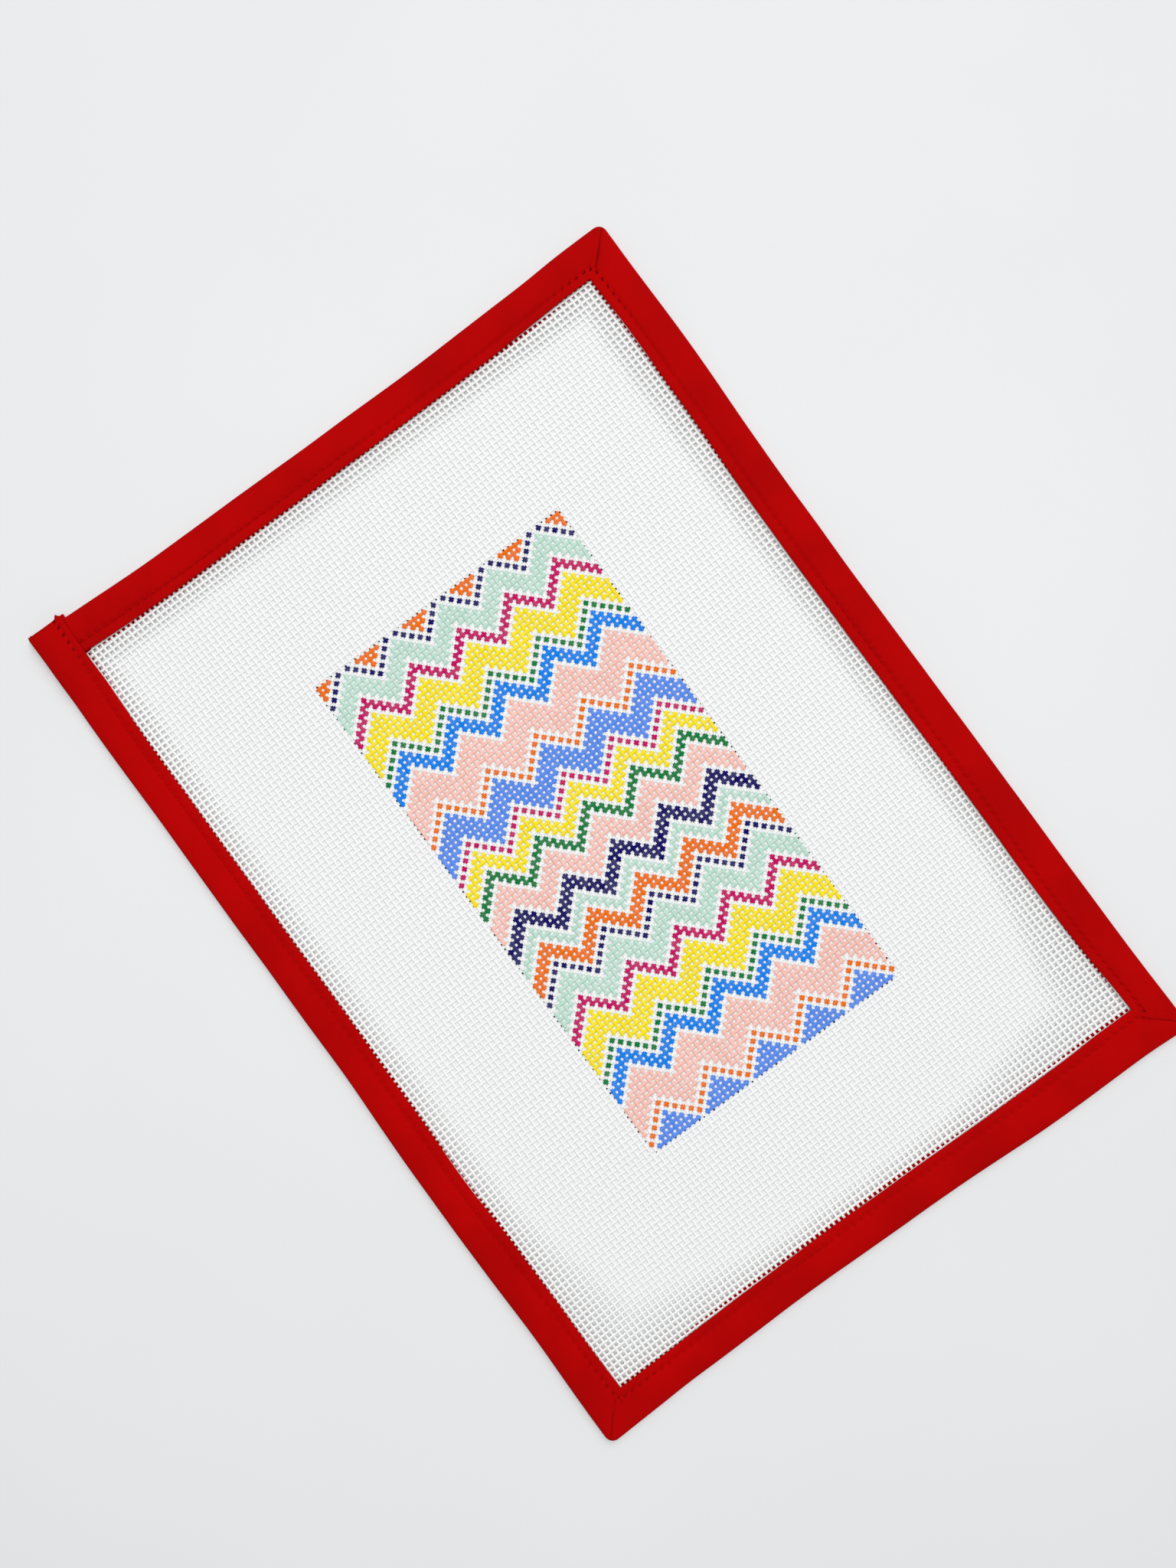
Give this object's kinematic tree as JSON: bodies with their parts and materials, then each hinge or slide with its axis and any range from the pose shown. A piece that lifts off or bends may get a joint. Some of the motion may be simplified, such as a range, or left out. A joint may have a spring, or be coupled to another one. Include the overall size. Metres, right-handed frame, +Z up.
{
  "type": "needlepoint canvas panel",
  "caption": "Rectangular sheet of open needlepoint canvas with a painted zigzag block, bound on all four sides with one folded tape mitred at three corners and lapped at the fourth, lying flat.",
  "frame": {"origin": "on the surface that the panel lies on, under the middle of its outline", "axes": "+X along the short side, +Y up the long side to the lapped end of the panel, +Z up out of the painted face"},
  "size_m": [0.2328, 0.3278, 0.0052],
  "materials": {
    "canvas": "white cotton single-thread canvas, open weave, matt",
    "binding": "red cotton tape, plain weave, matt with a faint sheen"
  },
  "bodies": {
    "root": {"canvas": "canvas", "binding": "binding"}
  },
  "joints": []
}
